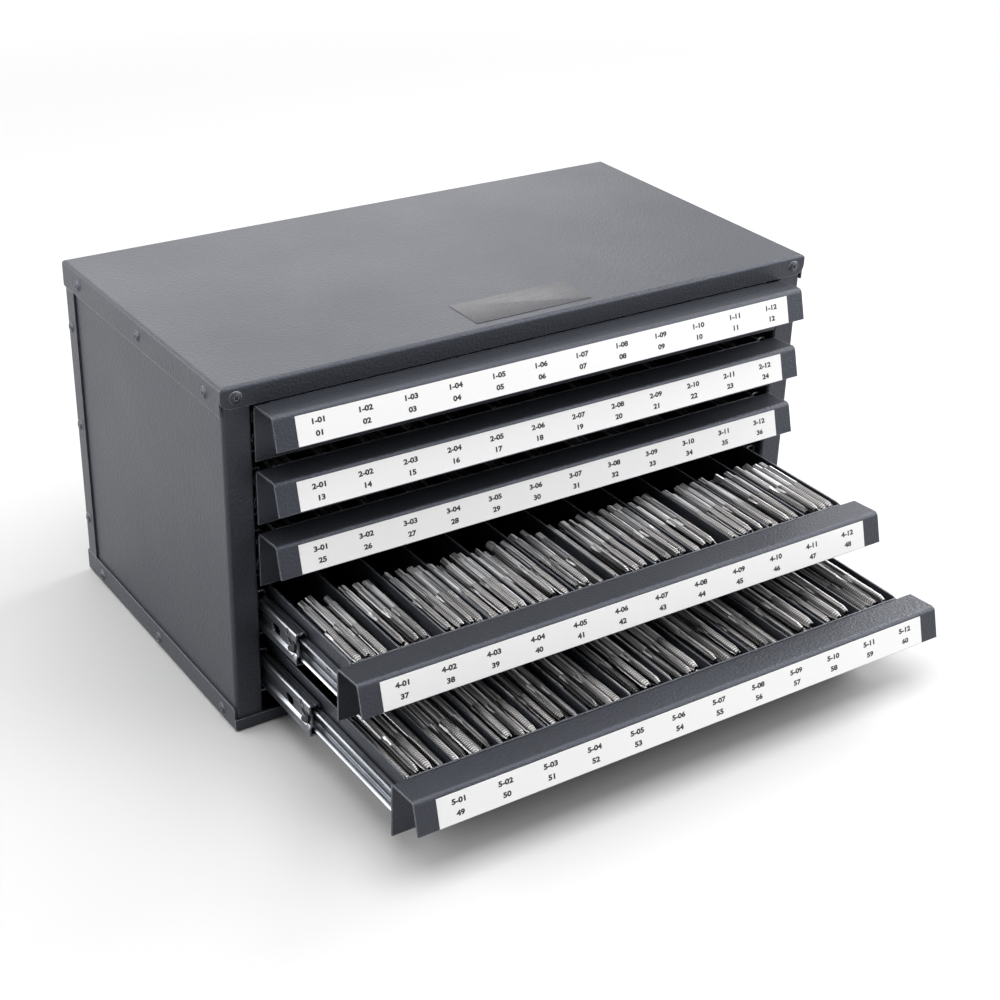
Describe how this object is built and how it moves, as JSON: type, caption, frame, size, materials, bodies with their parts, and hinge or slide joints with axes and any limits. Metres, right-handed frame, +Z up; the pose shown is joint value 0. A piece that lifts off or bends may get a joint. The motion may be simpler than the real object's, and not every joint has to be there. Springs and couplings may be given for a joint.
{
  "type": "tap and die storage drawer",
  "caption": "Steel bench cabinet whose shallow drawers, split into narrow labelled compartments for taps and dies, run on ball-bearing slides.",
  "frame": {"origin": "centre of the underside of the base panel", "axes": "+X across the front to the right, -Y the way the drawers open, +Z up"},
  "size_m": [0.3624, 0.3437, 0.1927],
  "materials": {
    "powder_coat": "textured slate grey powder coat",
    "zinc": "bright zinc plate on rolled steel",
    "cage_plastic": "moulded black plastic",
    "label": "matt white printed film"
  },
  "bodies": {
    "cabinet": {"lid": "powder_coat", "side_panel_left": "powder_coat", "side_panel_right": "powder_coat", "back_panel": "powder_coat", "base_panel": "powder_coat", "slide_post_left": "powder_coat", "slide_post_right": "powder_coat", "casing_screws": "powder_coat", "slide_screws": "zinc", "outer_rails_1": "zinc", "outer_rails_2": "zinc", "outer_rails_3": "zinc", "outer_rails_4": "zinc", "outer_rails_5": "zinc"},
    "drawer_1": {"front_1": "powder_coat", "tray_1": "powder_coat", "dividers_1": "powder_coat", "label_strip_1": "label", "inner_rails_1": "zinc", "rivets_1": "zinc"},
    "middle_1": {"middle_rails_1": "zinc"},
    "outer_cage_1": {"outer_cages_1": "cage_plastic"},
    "inner_cage_1": {"inner_cages_1": "cage_plastic"},
    "drawer_2": {"front_2": "powder_coat", "tray_2": "powder_coat", "dividers_2": "powder_coat", "label_strip_2": "label", "inner_rails_2": "zinc", "rivets_2": "zinc"},
    "middle_2": {"middle_rails_2": "zinc"},
    "outer_cage_2": {"outer_cages_2": "cage_plastic"},
    "inner_cage_2": {"inner_cages_2": "cage_plastic"},
    "drawer_3": {"front_3": "powder_coat", "tray_3": "powder_coat", "dividers_3": "powder_coat", "label_strip_3": "label", "inner_rails_3": "zinc", "rivets_3": "zinc"},
    "middle_3": {"middle_rails_3": "zinc"},
    "outer_cage_3": {"outer_cages_3": "cage_plastic"},
    "inner_cage_3": {"inner_cages_3": "cage_plastic"},
    "drawer_4": {"front_4": "powder_coat", "tray_4": "powder_coat", "dividers_4": "powder_coat", "label_strip_4": "label", "inner_rails_4": "zinc", "rivets_4": "zinc"},
    "middle_4": {"middle_rails_4": "zinc"},
    "outer_cage_4": {"outer_cages_4": "cage_plastic"},
    "inner_cage_4": {"inner_cages_4": "cage_plastic"},
    "drawer_5": {"front_5": "powder_coat", "tray_5": "powder_coat", "dividers_5": "powder_coat", "label_strip_5": "label", "inner_rails_5": "zinc", "rivets_5": "zinc"},
    "middle_5": {"middle_rails_5": "zinc"},
    "outer_cage_5": {"outer_cages_5": "cage_plastic"},
    "inner_cage_5": {"inner_cages_5": "cage_plastic"}
  },
  "joints": [
    {"name": "drawer_1_slide", "type": "slide", "parent": "cabinet", "child": "drawer_1", "axis": [0, -1, 0], "range_m": [0, 0.158]},
    {"name": "middle_1_slide", "type": "slide", "parent": "cabinet", "child": "middle_1", "axis": [0, -1, 0], "range_m": [0, 0.0791]},
    {"name": "outer_cage_1_slide", "type": "slide", "parent": "cabinet", "child": "outer_cage_1", "axis": [0, -1, 0], "range_m": [0, 0.0396]},
    {"name": "inner_cage_1_slide", "type": "slide", "parent": "cabinet", "child": "inner_cage_1", "axis": [0, -1, 0], "range_m": [0, 0.1186]},
    {"name": "drawer_2_slide", "type": "slide", "parent": "cabinet", "child": "drawer_2", "axis": [0, -1, 0], "range_m": [0, 0.158]},
    {"name": "middle_2_slide", "type": "slide", "parent": "cabinet", "child": "middle_2", "axis": [0, -1, 0], "range_m": [0, 0.0791]},
    {"name": "outer_cage_2_slide", "type": "slide", "parent": "cabinet", "child": "outer_cage_2", "axis": [0, -1, 0], "range_m": [0, 0.0396]},
    {"name": "inner_cage_2_slide", "type": "slide", "parent": "cabinet", "child": "inner_cage_2", "axis": [0, -1, 0], "range_m": [0, 0.1186]},
    {"name": "drawer_3_slide", "type": "slide", "parent": "cabinet", "child": "drawer_3", "axis": [0, -1, 0], "range_m": [0, 0.158]},
    {"name": "middle_3_slide", "type": "slide", "parent": "cabinet", "child": "middle_3", "axis": [0, -1, 0], "range_m": [0, 0.0791]},
    {"name": "outer_cage_3_slide", "type": "slide", "parent": "cabinet", "child": "outer_cage_3", "axis": [0, -1, 0], "range_m": [0, 0.0396]},
    {"name": "inner_cage_3_slide", "type": "slide", "parent": "cabinet", "child": "inner_cage_3", "axis": [0, -1, 0], "range_m": [0, 0.1186]},
    {"name": "drawer_4_slide", "type": "slide", "parent": "cabinet", "child": "drawer_4", "axis": [0, -1, 0], "range_m": [-0.0779, 0.0801]},
    {"name": "middle_4_slide", "type": "slide", "parent": "cabinet", "child": "middle_4", "axis": [0, -1, 0], "range_m": [-0.03905, 0.04015]},
    {"name": "outer_cage_4_slide", "type": "slide", "parent": "cabinet", "child": "outer_cage_4", "axis": [0, -1, 0], "range_m": [-0.01958, 0.02012]},
    {"name": "inner_cage_4_slide", "type": "slide", "parent": "cabinet", "child": "inner_cage_4", "axis": [0, -1, 0], "range_m": [-0.05853, 0.06017]},
    {"name": "drawer_5_slide", "type": "slide", "parent": "cabinet", "child": "drawer_5", "axis": [0, -1, 0], "range_m": [-0.1277, 0.0303]},
    {"name": "middle_5_slide", "type": "slide", "parent": "cabinet", "child": "middle_5", "axis": [0, -1, 0], "range_m": [-0.06395, 0.01525]},
    {"name": "outer_cage_5_slide", "type": "slide", "parent": "cabinet", "child": "outer_cage_5", "axis": [0, -1, 0], "range_m": [-0.03203, 0.00767]},
    {"name": "inner_cage_5_slide", "type": "slide", "parent": "cabinet", "child": "inner_cage_5", "axis": [0, -1, 0], "range_m": [-0.09587, 0.02282]}
  ],
  "couplings": [
    {"joint": "middle_1_slide", "follows": "drawer_1_slide", "ratio": 0.5},
    {"joint": "outer_cage_1_slide", "follows": "drawer_1_slide", "ratio": 0.25},
    {"joint": "inner_cage_1_slide", "follows": "drawer_1_slide", "ratio": 0.75},
    {"joint": "middle_2_slide", "follows": "drawer_2_slide", "ratio": 0.5},
    {"joint": "outer_cage_2_slide", "follows": "drawer_2_slide", "ratio": 0.25},
    {"joint": "inner_cage_2_slide", "follows": "drawer_2_slide", "ratio": 0.75},
    {"joint": "middle_3_slide", "follows": "drawer_3_slide", "ratio": 0.5},
    {"joint": "outer_cage_3_slide", "follows": "drawer_3_slide", "ratio": 0.25},
    {"joint": "inner_cage_3_slide", "follows": "drawer_3_slide", "ratio": 0.75},
    {"joint": "middle_4_slide", "follows": "drawer_4_slide", "ratio": 0.5},
    {"joint": "outer_cage_4_slide", "follows": "drawer_4_slide", "ratio": 0.25},
    {"joint": "inner_cage_4_slide", "follows": "drawer_4_slide", "ratio": 0.75},
    {"joint": "middle_5_slide", "follows": "drawer_5_slide", "ratio": 0.5},
    {"joint": "outer_cage_5_slide", "follows": "drawer_5_slide", "ratio": 0.25},
    {"joint": "inner_cage_5_slide", "follows": "drawer_5_slide", "ratio": 0.75}
  ]
}
